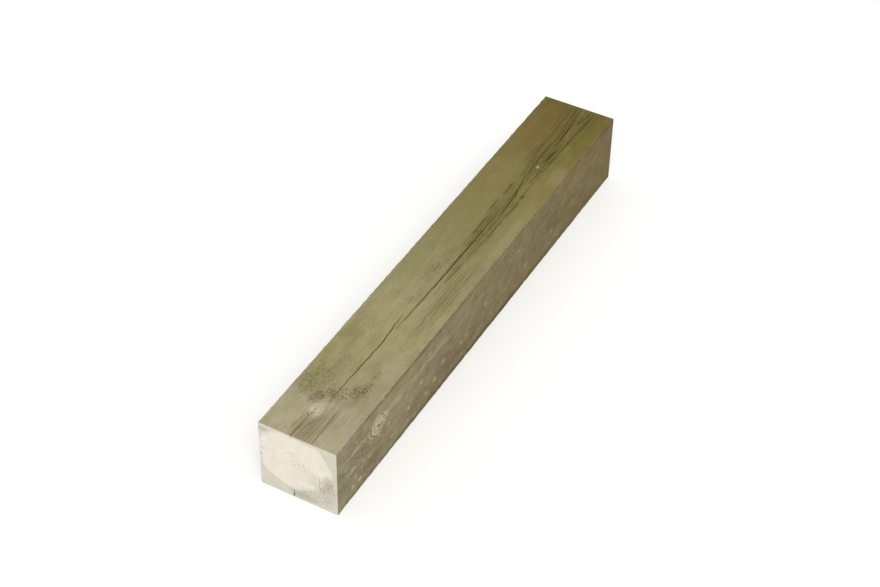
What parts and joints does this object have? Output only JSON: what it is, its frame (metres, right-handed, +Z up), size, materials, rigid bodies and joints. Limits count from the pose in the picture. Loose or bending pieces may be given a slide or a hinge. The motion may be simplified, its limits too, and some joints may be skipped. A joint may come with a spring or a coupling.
{
  "type": "treated pine post",
  "caption": "Short length of rough-sawn, preservative-treated square pine post with boxed heart, eased arrises, drying checks and knots.",
  "frame": {"origin": "middle of the bottom face, on the surface that the post lies on", "axes": "+X along the grain towards the far end, +Y across the width, +Z up from the face it lies on"},
  "size_m": [0.7, 0.101, 0.0975],
  "materials": {
    "treated_pine": "rough-sawn radiata-type pine, pressure treated, weathered khaki to olive brown on the sawn faces, pale cream heart on the cut ends"
  },
  "bodies": {
    "root": {"pine_post": "treated_pine"}
  },
  "joints": []
}
